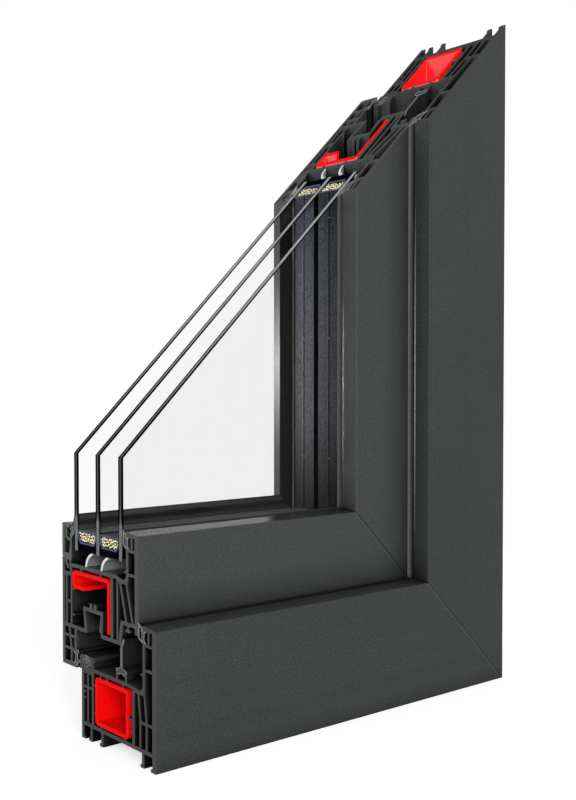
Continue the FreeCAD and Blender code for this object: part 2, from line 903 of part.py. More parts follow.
def seal_anchor(mouth, low, side):
    """The part of a seal inside its groove, from the lower end of its neck to the upper end."""
    high = low + D.groove_height
    touch = D.seal_touch
    inside = mouth - (D.groove_lip + touch) * side
    barb = inside - D.seal_barb * side
    skin = mouth + touch * side
    neck_low = low + D.groove_lip_rise + touch
    neck_high = high - D.groove_lip_rise - touch
    barb_low = low + touch
    barb_high = high - touch
    return [
        (skin, neck_low),
        (inside, neck_low),
        (inside, barb_low),
        (barb, barb_low),
        (inside, barb_low + D.seal_barb_height),
        (inside, barb_high - D.seal_barb_height),
        (barb, barb_high),
        (inside, barb_high),
        (inside, neck_high),
        (skin, neck_high),
    ]


def lip_seal(mouth, low, gap):
    """A hollow seal: two lips, joined by a thin skin that lies on the piece across the gap."""
    high = low + D.groove_height
    root = mouth + D.seal_touch
    touch = mouth + gap - D.seal_touch
    wall = D.seal_wall
    rise = D.seal_lip_rise
    outside = [
        (root, high + wall),
        (touch, high + wall + rise),
        (touch, low + rise),
        (root, low - D.seal_touch),
    ]
    back = root + D.seal_skin
    front = touch - D.seal_skin
    roof = high + D.seal_skin
    nib = back + D.seal_nib
    hollow = [
        (back, roof),
        (front, roof + D.seal_hollow_rise),
        (front, low + wall + D.seal_hollow_rise),
        (back, low + wall),
        (back, high - D.seal_skin),
        (nib, high - D.seal_skin),
        (nib, high),
        (back, high),
    ]
    return [outside + seal_anchor(mouth, low, 1), hollow]


def make_weather_seals():
    frame_seal = lip_seal(D.frame_lip, groove_low(frame_top()), D.outer_gap)
    make_pair("frame_rail_outer_gasket", "frame_jamb_outer_gasket", frame_seal)
    glass_seal = lip_seal(sash_y(D.sash_lip), groove_low(sash_top()), D.glazing_gap)
    make_pair("sash_rail_glazing_gasket", "sash_stile_glazing_gasket", glass_seal)


def make_overlap_seal():
    """The room-side seal in the sash's overlap, whose lower lip touches the frame's ridge."""
    mouth = overlap_front()
    low = sash_h(D.visible_wall)
    high = low + D.groove_height
    wall = D.seal_wall
    skin = mouth - D.seal_touch
    face = skin - wall
    touch = mouth - D.overlap_gap + D.seal_touch
    upper = touch + D.seal_body
    lip = low + D.overlap_seal_leg
    lips = [
        (skin, high + wall),
        (upper, high + wall),
        (upper, high),
        (face, high - wall),
        (face, lip),
        (touch, lip),
        (touch, lip - wall),
        (face, low + wall * HALF),
        (face, low - wall),
        (skin, low - wall),
    ]
    make_pair("sash_rail_overlap_gasket", "sash_stile_overlap_gasket", [lips + seal_anchor(mouth, low, -1)])


def make_centre_seal():
    """The seal on the two posts, whose blade leans on the nose of the sash."""
    touch = D.seal_touch
    seat = D.rebate_floor + D.post_height + touch
    start = D.post_front
    end = start + D.post_width + D.post_gap + D.post_width
    plug_start = start + D.post_width + touch
    plug_end = end - D.post_width - touch
    plug_low = seat - D.centre_plug
    leg = D.centre_plug_leg
    top = seat + D.centre_foot
    stem_front = (start + end - D.centre_stem) * HALF
    stem_back = stem_front + D.centre_stem
    corner = sash_h(D.floor_low)
    nose = sash_y(D.nose_foot) - touch
    knee = corner - D.centre_knee
    tip = corner + D.centre_tip
    tip_back = sash_y(D.nose_top) - touch
    outline = [
        (start, seat),
        (start, top - D.seal_wall),
        (stem_front, top),
        (stem_front, knee),
        (nose - D.centre_stem, corner),
        (tip_back - D.centre_stem, tip),
        (tip_back, tip),
        (nose, corner),
        (stem_back, knee),
        (stem_back, top),
        (end, top - D.seal_wall),
        (end, seat),
        (plug_end, seat),
        (plug_end, plug_low),
        (plug_end - leg, plug_low, D.centre_arch, ANTICLOCKWISE),
        (plug_start + leg, plug_low),
        (plug_start, plug_low),
        (plug_start, seat),
    ]
    make_pair("frame_rail_centre_gasket", "frame_jamb_centre_gasket", [outline])


def make_groove_strip():
    """The soft hollow strip that closes the groove in the frame's ridge."""
    touch = D.seal_touch
    top = ridge_top()
    back = D.frame_depth - D.strip_groove_rear - touch
    front = back + touch - D.strip_groove_width + touch
    neck_back = back - D.strip_lip
    neck_front = front + D.strip_lip
    shoulder = top - D.strip_lip_wall - touch
    side = shoulder - D.strip_side
    base = top - D.strip_groove_depth + touch
    middle = (back + front) * HALF
    slot = D.strip_slot * HALF
    slot_top = top - D.strip_skin
    outline = [
        (neck_front, top),
        (neck_back, top),
        (neck_back, shoulder),
        (back, shoulder),
        (back, side, D.strip_round, CLOCKWISE),
        (middle + D.strip_foot, base),
        (middle - D.strip_foot, base, D.strip_round, CLOCKWISE),
        (front, side),
        (front, shoulder),
        (neck_front, shoulder),
    ]
    hole = box(middle - slot, middle + slot, slot_top - D.strip_slot_height, slot_top)
    make_pair("frame_rail_groove_strip", "frame_jamb_groove_strip", [outline], [("Slot", [hole])])


# Glass unit

def glass_front():
    return sash_y(D.sash_lip) + D.glazing_gap


def glass_edge():
    return sash_floor() + D.glass_drop


def bead_front():
    return sash_back() - D.bead_width


def glass_gap():
    """The gap between two panes: what is left of the depth from the seal to the bead, halved."""
    unit = bead_front() - D.bead_gap - glass_front()
    return (unit - D.glass * len(PANES)) * HALF


def pane_front(index):
    return glass_front() + (D.glass + glass_gap()) * index


def make_pane(node, index):
    """A pane, square at its outer corner and cut like the frame at the left and at the top."""
    body = new_body(node)
    right = D.sample_width - glass_edge()
    face = [(ZERO, glass_edge()), (right, glass_edge()), (right, D.cut_height + right), (ZERO, D.cut_height)]
    sketch = new_sketch(body, "XZ_Plane", "Face", [face])
    far_side = pane_front(index) + D.glass
    sketch.setExpression("AttachmentOffset.Base.z", "-(" + far_side.text + ")")
    pad(body, sketch, D.glass)


def spacer_outline(front, back):
    base = glass_edge() + D.spacer_base
    top = base + D.spacer_height
    shoulder = base + D.spacer_bevel_height
    bevel = D.spacer_bevel
    return [(front, shoulder), (front, top), (back, top), (back, shoulder),
            (back - bevel, base), (front + bevel, base)]


def spacer_hollow(front, back):
    wall = D.spacer_wall
    base = glass_edge() + D.spacer_base + wall
    top = glass_edge() + D.spacer_base + D.spacer_height - wall
    shoulder = glass_edge() + D.spacer_base + D.spacer_bevel_height + wall * HALF
    bevel = D.spacer_bevel + wall * HALF
    sides = [(front + wall, shoulder), (front + wall, top), (back - wall, top), (back - wall, shoulder)]
    return sides + [(back - bevel, base), (front + bevel, base)]


def sealant_outline(front, back):
    low = glass_edge() + D.sealant_base
    base = glass_edge() + D.spacer_base
    shoulder = base + D.spacer_bevel_height
    bevel = D.spacer_bevel
    return [(front, low), (front, shoulder), (front + bevel, base),
            (back - bevel, base), (back, shoulder), (back, low)]


def make_glass_unit():
    for index, place in enumerate(PANES):
        make_pane("pane_" + place, index)
    for index, place in enumerate(("outer", "inner")):
        front = pane_front(index) + D.glass
        back = front + glass_gap()
        hollow = spacer_hollow(front, back)
        spacer = "spacer_" + place
        filling = "desiccant_" + place
        sealant = "edge_seal_" + place
        make_pair(spacer + "_rail", spacer + "_stile", [spacer_outline(front, back)], [("Hollow", [hollow])])
        make_pair(filling + "_rail", filling + "_stile", [hollow])
        make_pair(sealant + "_rail", sealant + "_stile", [sealant_outline(front, back)])


# Glazing bead and its seal

def bead_base():
    return sash_floor() + D.rim_rise + D.bead_seat


def bead_roof():
    """Underside of the bead's top wall at its front."""
    return bead_base() + D.bead_height + D.bead_top_rise - D.web


def bead_pocket_low():
    return bead_roof() - D.bead_pocket_height


def make_bead():
    """The clip-on bead: a chamber, a rounded pocket for its seal and a curved clip below."""
    back = sash_back()
    front = bead_front()
    base = bead_base()
    top = base + D.bead_height
    roof = bead_roof()
    low = bead_pocket_low()
    pocket = front + D.bead_pocket
    foot = sash_floor() + D.seat_clearance
    foot_front = front + D.bead_lean
    foot_back = foot_front + D.web
    clip = back - D.bead_clip_place
    clip_low = bead_groove_floor() + D.bead_clip_clear
    clip_tip = clip - D.bead_clip_reach
    neck = base - D.bead_clip_neck
    radius = D.bead_pocket_radius
    lip = D.bead_pocket_lip
    outline = [
        (back, base),
        (back, top - D.bead_round, D.bead_round, ANTICLOCKWISE),
        (back - D.bead_round, top),
        (front, top + D.bead_top_rise),
        (front, roof),
        (pocket - lip, roof),
        (pocket - lip, roof - D.web),
        (pocket, roof - D.web),
        (pocket, low + radius, radius, CLOCKWISE),
        (pocket - radius, low),
        (front + D.web, low),
        (front + D.web, low + D.web),
        (front, low + D.web),
        (front, foot + D.bead_lean_height),
        (foot_front, foot),
        (foot_back, foot),
        (foot_back, base - D.web),
        (clip - D.bead_clip, base - D.web),
        (clip - D.bead_clip, neck),
        (clip_tip, clip_low + D.bead_clip),
        (clip_tip, clip_low),
        (clip_tip + D.bead_clip, clip_low),
        (clip, neck),
        (clip, base),
    ]
    wall = back - D.visible_wall
    shelf = base + D.bead_floor
    leg = pocket + D.web
    chamber = [
        (foot_back, shelf),
        (wall, shelf),
        (wall, top - D.web),
        (leg, top - D.web),
        (leg, low + radius - D.web),
        (leg - radius, low - D.web),
        (front + D.web, low - D.web),
    ]
    make_pair("glazing_bead_rail", "glazing_bead_stile", [outline], [("Chamber", [chamber])])


def make_bead_seal():
    """The hollow seal in the bead's pocket, whose upper lip runs up the inner pane."""
    front = bead_front()
    glass = front - D.bead_gap + D.seal_touch
    roof = bead_roof() - D.seal_touch
    low = bead_pocket_low() + D.web
    root = front - D.seal_touch
    wall = D.seal_wall
    rise = D.seal_lip_rise
    inside = front + D.seal_touch
    barb = inside + D.seal_barb
    seat = low + D.seal_touch
    outline = [
        (root, roof + wall),
        (glass + wall, roof + wall + D.bead_seal_knee),
        (glass, roof + wall + D.bead_seal_lip),
        (glass, low + rise),
        (root, low - wall),
        (root, seat),
        (barb, seat),
        (inside, seat + D.seal_barb_height),
        (inside, roof - D.web - D.seal_barb_height),
        (barb, roof - D.web),
        (inside, roof - D.web),
        (inside, roof),
        (root, roof),
    ]
    back = root - wall
    skin = glass + D.seal_skin
    hollow = [
        (back, roof - wall),
        (skin, roof),
        (skin, low + wall + rise),
        (back, low + wall),
    ]
    make_pair("bead_gasket_rail", "bead_gasket_stile", [outline, hollow])


# Blades on the sash below the glass

def blade(front):
    """A curved blade that rises from the sash and leans to the weather side under the glass."""
    foot = sash_floor() + D.seat_clearance
    tip = glass_edge() + D.sealant_base - D.seal_touch
    return [
        (front, foot, D.fin_curve, ANTICLOCKWISE),
        (front - D.fin_lean, tip - D.fin_wall),
        (front - D.fin_lean, tip, D.fin_curve, CLOCKWISE),
        (front + D.fin_wall, foot),
    ]


def make_blades():
    rear = sash_y(D.fin_rear)
    make_pair("rebate_fins_rail", "rebate_fins_stile", [blade(rear - D.fin_pitch), blade(rear)])


def check():
    """Stops if a feature failed, a cut took nothing away or a shape is unsound."""
    for item in doc.Objects:
        if "Invalid" in item.State or "Error" in item.State:
            raise RuntimeError(item.Name + " failed: " + ", ".join(item.State))
    for cut in CUTS:
        if cut.Shape.Volume >= cut.BaseFeature.Shape.Volume:
            raise RuntimeError(cut.Name + " cut nothing")
    for body in BODIES:
        if body.Shape.isNull() or not body.Shape.isValid():
            raise RuntimeError(body.Label + " has no sound shape")


def export():
    os.makedirs("parts", exist_ok=True)
    for body in BODIES:
        body.Shape.exportStep("parts/" + body.Label + ".step")
        print(body.Label, len(body.Shape.Solids), "solid,", round(body.Shape.Volume), "cubic mm")


make_frame()
make_frame_steel()
make_centre_seal()
make_groove_strip()
make_sash()
make_sash_steel()
make_overlap_seal()
make_weather_seals()
make_bead()
make_bead_seal()
make_glass_unit()
make_blades()
doc.recompute()
check()
export()
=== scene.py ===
import math
import random
from collections import namedtuple
import bmesh
import bpy
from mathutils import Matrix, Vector


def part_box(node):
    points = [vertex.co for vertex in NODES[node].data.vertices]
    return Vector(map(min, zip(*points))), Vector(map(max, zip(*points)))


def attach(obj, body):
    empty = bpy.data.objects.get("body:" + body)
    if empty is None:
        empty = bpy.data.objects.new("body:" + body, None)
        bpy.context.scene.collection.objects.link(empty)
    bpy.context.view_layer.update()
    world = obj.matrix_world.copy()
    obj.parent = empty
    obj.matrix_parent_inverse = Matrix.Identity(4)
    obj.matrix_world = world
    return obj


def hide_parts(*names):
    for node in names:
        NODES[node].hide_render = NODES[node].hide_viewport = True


# The looks of a window corner sample. All lengths are in metres, in the part's own frame:
# X from the left cut to the outer side of the jamb, Y from the weather side to the room, Z up.

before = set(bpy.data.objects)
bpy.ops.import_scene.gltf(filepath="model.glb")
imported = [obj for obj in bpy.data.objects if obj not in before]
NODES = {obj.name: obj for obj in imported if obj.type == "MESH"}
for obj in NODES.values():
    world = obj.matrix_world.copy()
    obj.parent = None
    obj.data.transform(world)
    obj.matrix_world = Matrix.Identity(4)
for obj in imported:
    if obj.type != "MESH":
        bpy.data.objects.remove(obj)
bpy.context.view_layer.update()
scene = bpy.context.scene


# Places that the looks follow, taken from the frame

def weather_side(node):
    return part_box(node)[0].y


def room_side(node):
    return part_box(node)[1].y


def top_of(node):
    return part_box(node)[1].z


def middle_depth(node):
    return (weather_side(node) + room_side(node)) / 2


def right_side(node):
    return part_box(node)[1].x


LEFT_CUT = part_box("frame_rail")[0].x
MITRE = right_side("frame_jamb")            # on the mitre, X + Z has this value
TOP_CUT = top_of("frame_jamb") - MITRE      # on the slanting cut, Z - X has this value
CUT_SKIN = 0.0002                           # how near to a cut a surface counts as sawn
SIGHT_LINE = top_of("sash_rail")            # the lying bars hide the glass up to here
PANES = ("pane_outer", "pane_middle", "pane_inner")

WHITE = (1.0, 1.0, 1.0, 1.0)
USUAL_NOISE = (0.3, 0.7)                    # nearly all of a noise's values lie between these
FACING = 0.9                                # a face looks along an axis when its normal does by this much
NONE_TO_FULL = (0.0, 1.0)
FULL_TO_NONE = (1.0, 0.0)


# Shader helpers

class Graph:
    """A node tree, with short words for the nodes that it needs."""

    def __init__(self, tree):
        self.tree = tree

    def add(self, kind, **settings):
        node = self.tree.nodes.new(kind)
        for key, value in settings.items():
            setattr(node, key, value)
        return node

    def link(self, start, end):
        self.tree.links.new(start, end)

    def feed(self, socket, value):
        """Sets a socket to a plain value, or links another node's output to it."""
        if isinstance(value, (int, float, tuple)):
            socket.default_value = value
        else:
            self.link(value, socket)

    def math(self, operation, first, second=0.0, third=None, clamp=False):
        node = self.add("ShaderNodeMath", operation=operation, use_clamp=clamp)
        self.feed(node.inputs[0], first)
        self.feed(node.inputs[1], second)
        if third is not None:
            self.feed(node.inputs[2], third)
        return node.outputs[0]

    def join(self, x, y, z):
        node = self.add("ShaderNodeCombineXYZ")
        for socket, value in zip(node.inputs, (x, y, z)):
            self.feed(socket, value)
        return node.outputs[0]

    def remap(self, value, old, new):
        """Turns values between the two ends of old into values between those of new."""
        node = self.add("ShaderNodeMapRange", clamp=True)
        self.feed(node.inputs["Value"], value)
        for socket, number in zip(list(node.inputs)[1:5], old + new):
            socket.default_value = number
        return node.outputs["Result"]

    def vary(self, noise, low, high):
        """Spreads a noise's usual values from low to high."""
        return self.remap(noise, USUAL_NOISE, (low, high))

    def line(self, value, place, inner, outer):
        """1 within inner of a place along a value, falling to 0 at outer."""
        away = self.math("ABSOLUTE", self.math("SUBTRACT", value, place))
        return self.remap(away, (inner, outer), FULL_TO_NONE)

    def mix(self, factor, first, second):
        """Mixes two colours, or two normals."""
        node = self.add("ShaderNodeMix", data_type="RGBA")
        self.feed(node.inputs[0], factor)
        self.feed(node.inputs[6], first)
        self.feed(node.inputs[7], second)
        return node.outputs[2]

    def mix_shaders(self, factor, first, second):
        node = self.add("ShaderNodeMixShader")
        for socket, value in zip(node.inputs, (factor, first, second)):
            self.link(value, socket)
        return node.outputs[0]

    def scale_colour(self, colour, factor):
        """Multiplies a colour by a number."""
        node = self.add("ShaderNodeVectorMath", operation="SCALE")
        self.feed(node.inputs[0], colour[:3] if isinstance(colour, tuple) else colour)
        self.feed(node.inputs["Scale"], factor)
        return node.outputs[0]

    def scale_where(self, colour, mask, factor):
        """Multiplies a colour by a number where the mask is 1, and leaves it where that is 0."""
        return self.scale_colour(colour, self.remap(mask, NONE_TO_FULL, (1.0, factor)))

    def mottle(self, colour, noise, share):
        """Makes a colour lighter and darker by up to this share of it."""
        return self.scale_colour(colour, self.vary(noise, 1.0 - share, 1.0 + share))

    def seen_ray(self):
        """1 for rays that show a thing, by eye, in gloss or through glass, and 0 for those that light it."""
        path = self.add("ShaderNodeLightPath")
        seen = path.outputs["Is Camera Ray"]
        for kind in ("Is Glossy Ray", "Is Transmission Ray"):
            seen = self.math("MAXIMUM", seen, path.outputs[kind])
        return seen


class Surface(Graph):
    """A new material, with the places and directions that its colours follow."""

    def __init__(self, name):
        self.material = bpy.data.materials.new(name)
        self.material.use_nodes = True
        super().__init__(self.material.node_tree)
        self.shader = self.tree.nodes["Principled BSDF"]
        self.output = self.tree.nodes["Material Output"]
        self.coords = self.add("ShaderNodeTexCoord").outputs["Object"]
        self.normal = self.add("ShaderNodeNewGeometry").outputs["Normal"]
        self.x, self.y, self.z = self.split(self.coords)
        self.facing_x, self.facing_y, self.facing_z = self.split(self.normal)
        self.mitre_sum = self.math("ADD", self.x, self.z)
        self.top_difference = self.math("SUBTRACT", self.z, self.x)

    def split(self, vector):
        node = self.add("ShaderNodeSeparateXYZ")
        self.link(vector, node.inputs[0])
        return node.outputs

    def noise(self, scale, vector=None, detail=2.0, roughness=0.5):
        node = self.add("ShaderNodeTexNoise")
        self.link(vector or self.coords, node.inputs["Vector"])
        node.inputs["Scale"].default_value = scale
        node.inputs["Detail"].default_value = detail
        node.inputs["Roughness"].default_value = roughness
        return node.outputs["Fac"]

    def bump(self, height, strength, distance, under=None):
        node = self.add("ShaderNodeBump")
        node.inputs["Strength"].default_value = strength
        node.inputs["Distance"].default_value = distance
        self.link(height, node.inputs["Height"])
        if under is not None:
            self.link(under, node.inputs["Normal"])
        return node.outputs["Normal"]

    def on_left_cut(self):
        """1 on the left cut, 0 elsewhere."""
        return self.math("LESS_THAN", self.x, LEFT_CUT + CUT_SKIN)

    def sawn(self):
        """1 on the left cut and on the slanting top cut, 0 elsewhere."""
        top = self.math("GREATER_THAN", self.top_difference, TOP_CUT - CUT_SKIN)
        return self.math("MAXIMUM", self.on_left_cut(), top)

    def upright(self):
        """1 in the standing bars, 0 in the lying ones."""
        return self.math("GREATER_THAN", self.mitre_sum, MITRE)

    def along(self, scale, detail=3.0):
        """Fine streaks that run along each bar, as a die leaves them."""
        standing = self.upright()
        lying = self.math("SUBTRACT", 1.0, standing)
        across_standing = self.math("MULTIPLY", self.x, standing)
        across_lying = self.math("MULTIPLY", self.z, lying)
        return self.noise(scale, self.join(across_standing, self.y, across_lying), detail)

    def softened(self, radius):
        """The normal with its arrises rounded off, and 1 at those arrises, 0 on the faces."""
        node = self.add("ShaderNodeBevel", samples=6)
        node.inputs["Radius"].default_value = radius
        turn = self.add("ShaderNodeVectorMath", operation="DOT_PRODUCT")
        self.link(node.outputs[0], turn.inputs[0])
        self.link(self.normal, turn.inputs[1])
        return node.outputs[0], self.remap(turn.outputs["Value"], (0.960, 0.998), FULL_TO_NONE)

    def saw_marks(self):
        """Fine scratches that the saw leaves across a cut."""
        stretched = self.join(0.0, self.math("MULTIPLY", self.y, 0.06), self.z)
        return self.noise(5200.0, stretched)

    def open_air(self, distance):
        """1 on open faces, less in chambers, corners and gaps about as wide as the distance."""
        node = self.add("ShaderNodeAmbientOcclusion", samples=12)
        node.inputs["Distance"].default_value = distance
        return node.outputs["AO"]

    def surface(self, colour, roughness, normal=None, **constants):
        """Feeds the shader. A constant is named as its socket, with underscores for spaces."""
        self.feed(self.shader.inputs["Base Color"], colour)
        self.feed(self.shader.inputs["Roughness"], roughness)
        if normal is not None:
            self.link(normal, self.shader.inputs["Normal"])
        for name, value in constants.items():
            self.shader.inputs[name.replace("_", " ")].default_value = value
        return self.material


def use(material, *names):
    """Gives a material to the nodes with these names."""
    for name in names:
        piece = NODES[name]
        piece.data.materials.clear()
        piece.data.materials.append(material)


# Foiled plastic

ANTHRACITE = (0.0455, 0.0485, 0.0473, 1.0)
BARE_PLASTIC = (0.064, 0.066, 0.066, 1.0)
SLANTING = (0.3, 0.5)           # how far up a face looks before it counts as the slanting cut
CHAMBER_SHADE_REACH = 0.024           # how far from a surface a wall still casts painted shade on it
FLOOR_GLOW = 0.016              # up to this height the foil is painted lighter, as painted light from the pale floor
ARRIS = 0.0005                  # radius of the foil's soft arrises
WELD = 0.00055                  # half the width of the line at the mitre
BURR_OFFSET = 0.0009            # from the mitre to the burr that the weld left beside it
BURR = (0.0002, 0.0007)         # half the burr's width, where it is full and where it ends
GROOVE_LIGHT_ENDS = 0.0004              # length over which each end of the painted light in a groove fades
GROOVE_LIGHT_LINE = (0.0001, 0.0003)    # how near to the groove's face the painted light is full, and ends
EDGE_ROUGHNESS = 0.65           # of sawn faces
FRAME_LIP = 0.0101              # from the frame's weather face to its polished lip
SASH_LIP = 0.0097               # and from the sash's

# The part of a standing bar's left side that the rollers have polished: depth and reach lie across
# the side, height and spread along it, weight is the coat's least and most, and rounding is the way
# in which the polished arris faces.
Polish = namedtuple("Polish", "depth reach height spread weight roughness rounding")

# Painted light on the face in the groove of a standing bar: where it lies, half its width, its tone
GrooveLight = namedtuple("GrooveLight", "across half_width depth tone")


def foil_tone(g, speckle, streak, worn_and_highlit, weld):
    """Grained foil, painted shade in chambers, painted highlights at worn arrises, dark weld, light burr."""
    cloud = g.noise(14.0, detail=3.0)
    burr = g.line(g.mitre_sum, MITRE - BURR_OFFSET, *BURR)
    tone = g.mottle(ANTHRACITE, speckle, 0.44)
    # painted shade in chambers, corners and narrow gaps
    tone = g.scale_colour(tone, g.remap(g.open_air(CHAMBER_SHADE_REACH), (0.29, 0.94), NONE_TO_FULL))
    # painted light from the pale floor, near the bottom
    tone = g.scale_colour(tone, g.remap(g.z, (0.0, FLOOR_GLOW), (1.9, 1.0)))
    # painted highlight along the arrises, which are also worn glossier
    tone = g.scale_where(tone, worn_and_highlit, 1.25)
    tone = g.mottle(tone, cloud, 0.04)
    tone = g.mottle(tone, streak, 0.03)
    tone = g.scale_colour(tone, g.remap(weld, (0.0, 0.8), (1.0, 0.22)))
    return g.scale_where(tone, burr, 1.6)


def bare_tone(g):
    """Sawn plastic without foil, scratched, with painted shade on the slanting cut."""
    tone = g.mottle(BARE_PLASTIC, g.saw_marks(), 0.28)
    # painted shade: the slanting cut, which looks up, is darker
    return g.scale_colour(tone, g.remap(g.facing_z, SLANTING, (1.0, 0.68)))


def groove_light_mask(g, groove_light):
    """1 where the painted light in the groove lies."""
    mask = g.line(g.x, groove_light.across, groove_light.half_width, groove_light.half_width + GROOVE_LIGHT_ENDS)
    mask = g.math("MULTIPLY", mask, g.line(g.y, groove_light.depth, *GROOVE_LIGHT_LINE))
    mask = g.math("MULTIPLY", mask, g.math("LESS_THAN", g.facing_y, -FACING))
    return g.math("MULTIPLY", mask, g.upright())


def add_polish(g, polish, speckle, sawn):
    """Lays a clear coat over the part that the polish record names."""
    to_left = g.math("LESS_THAN", g.facing_x, -FACING)
    weight = g.math("MULTIPLY", g.line(g.y, polish.depth, *polish.reach), to_left)
    weight = g.math("SUBTRACT", weight, sawn, clamp=True)
    weight = g.math("MULTIPLY", weight, g.line(g.z, polish.height, *polish.spread))
    weight = g.math("MULTIPLY", weight, g.vary(speckle, *polish.weight))
    g.link(weight, g.shader.inputs["Coat Weight"])
    g.shader.inputs["Coat Roughness"].default_value = polish.roughness
    g.link(g.join(*polish.rounding), g.shader.inputs["Coat Normal"])


def foil_plastic(name, roughness, specular, polish, lip_roughness=None, smooth_sides=False, worn_gloss=0.32,
                 groove_light=None):
    """Anthracite plastic with a finely grained foil; sawn faces are bare and a little lighter.

    Lip_roughness is that of faces that look up, and with smooth_sides also of those that look left.
    Worn_gloss is how much smoother the arrises are than the faces.
    """
    g = Surface(name)
    sawn = g.sawn()
    speckle = g.noise(1000.0, detail=4.0, roughness=0.75)
    streak = g.along(900.0)
    soft_normal, worn_and_highlit = g.softened(ARRIS)
    weld = g.line(g.mitre_sum, MITRE, 0.0, WELD)
    colour = g.mix(sawn, foil_tone(g, speckle, streak, worn_and_highlit, weld), bare_tone(g))
    if groove_light is not None:
        # painted light on the bead's face in its groove
        colour = g.mix(groove_light_mask(g, groove_light), colour, groove_light.tone)
    rough = g.vary(speckle, roughness - 0.05, roughness + 0.05)
    if lip_roughness is not None:
        lip = g.facing_z
        if smooth_sides:
            lip = g.math("MAXIMUM", lip, g.math("MULTIPLY", g.facing_x, -1.0))
        rough = g.math("SUBTRACT", rough, g.remap(lip, (FACING, 0.97), (0.0, roughness - lip_roughness)))
    rough = g.math("MAXIMUM", rough, g.math("MULTIPLY", sawn, EDGE_ROUGHNESS))
    rough = g.math("SUBTRACT", rough, g.math("MULTIPLY", worn_and_highlit, worn_gloss))
    add_polish(g, polish, speckle, sawn)
    grain = g.bump(speckle, strength=0.30, distance=0.00016, under=g.mix(sawn, soft_normal, g.normal))
    ridges = g.bump(streak, strength=0.12, distance=0.00005, under=grain)
    groove = g.bump(g.remap(weld, NONE_TO_FULL, FULL_TO_NONE), strength=0.6, distance=0.0002, under=ridges)
    return g.surface(colour, rough, groove, Specular_IOR_Level=specular)


# Painted steel

RED = (1.0, 0.003, 0.003, 1.0)
SAWN_RED = (1.0, 0.002, 0.003, 1.0)
SCRATCHED_RED = (0.95, 0.001, 0.002, 1.0)
EDGE_FOLLOWS_SHADE = 0.18             # how much of the sides' painted shade a sawn edge follows


def red_paint(name, tone, gloss, left_gloss, edge_share):
    """Red paint on steel, with a thin film on the sawn edge.

    Tone is how bright the sides are, and below 1 it is painted shade; left_gloss is the gloss of faces that
    look left, and edge_share what a sawn edge keeps of its gloss.
    """
    g = Surface(name)
    peel = g.noise(420.0)
    wear = g.noise(60.0, detail=4.0)
    body = g.scale_colour(RED, g.remap(wear, (0.35, 0.75), (tone, tone * 0.95)))
    edge = g.mix(g.saw_marks(), SAWN_RED, SCRATCHED_RED)
    edge = g.scale_colour(edge, 1.0 - EDGE_FOLLOWS_SHADE * (1.0 - tone))
    sawn = g.sawn()
    shine = g.remap(g.facing_x, (-FACING, -0.7), (left_gloss, gloss))
    shine = g.math("MULTIPLY", shine, g.remap(sawn, NONE_TO_FULL, (1.0, edge_share)))
    g.link(shine, g.shader.inputs["Specular IOR Level"])
    normal = g.bump(peel, strength=0.05, distance=0.00006)
    return g.surface(g.mix(sawn, body, edge), g.vary(peel, 0.26, 0.36), normal)


# Seals

SEAL_EDGE = (0.15, 0.153, 0.153, 1.0)
SEAL_HOLLOW_SHADE = 0.003             # about as wide as a seal's hollow, which gets painted shade
SEAL_ARRIS = 0.0006             # how far from the arris a seal's cut edge is lighter
CROWN = (0.0003, 0.0019)        # half a bright crown's width, where it is full and where it ends
CROWN_DROPS = (0.0019, 0.0075)  # how far below the bead seal's top its crowns lie

# A lip's painted sheen, dark depth to bright one: the gain there, and what a lying lip keeps, as painted
# shade
Sheen = namedtuple("Sheen", "dark bright gain lying")


def rubber(name, tone, sheen=None, crowns=(), hollow=True):
    """Rubber with dust in its pores.

    Crowns are the heights at which the lips of a lying seal catch the light.
    A hollow seal gets painted shade inside; one that lies against a pane can't be told from its inside.
    """
    g = Surface(name)
    dust = g.noise(700.0, detail=4.0, roughness=0.65)
    streak = g.along(1300.0)
    body = g.mottle(tone, dust, 0.15)
    if hollow:
        # painted shade inside the hollow
        body = g.scale_colour(body, g.remap(g.open_air(SEAL_HOLLOW_SHADE), (0.3, 0.9), (0.03, 1.0)))
    if sheen is not None:
        # painted sheen across the lip, and painted shade on a lying one
        side = g.remap(g.y, (sheen.dark, sheen.bright), NONE_TO_FULL)
        body = g.scale_colour(body, g.math("MULTIPLY_ADD", g.math("MULTIPLY", side, side), sheen.gain, 0.45))
        body = g.scale_colour(body, g.remap(g.upright(), NONE_TO_FULL, (sheen.lying, 1.0)))
    for height in crowns:
        crown = g.math("SUBTRACT", g.line(g.z, height, *CROWN), g.upright(), clamp=True)
        # painted highlight on each crown of a lying seal
        body = g.scale_where(body, crown, 4.6)
    cut_arris = g.softened(SEAL_ARRIS)[1]
    edge = g.mottle(SEAL_EDGE, g.saw_marks(), 0.12)
    edge = g.scale_colour(edge, g.remap(cut_arris, NONE_TO_FULL, (0.42, 2.50)))
    normal = g.bump(streak, strength=0.15, distance=0.00005)
    normal = g.bump(dust, strength=0.2, distance=0.00008, under=normal)
    return g.surface(g.mix(g.sawn(), body, edge), g.vary(dust, 0.58, 0.74), normal, Specular_IOR_Level=0.06)


# Spacers and the sealant behind them

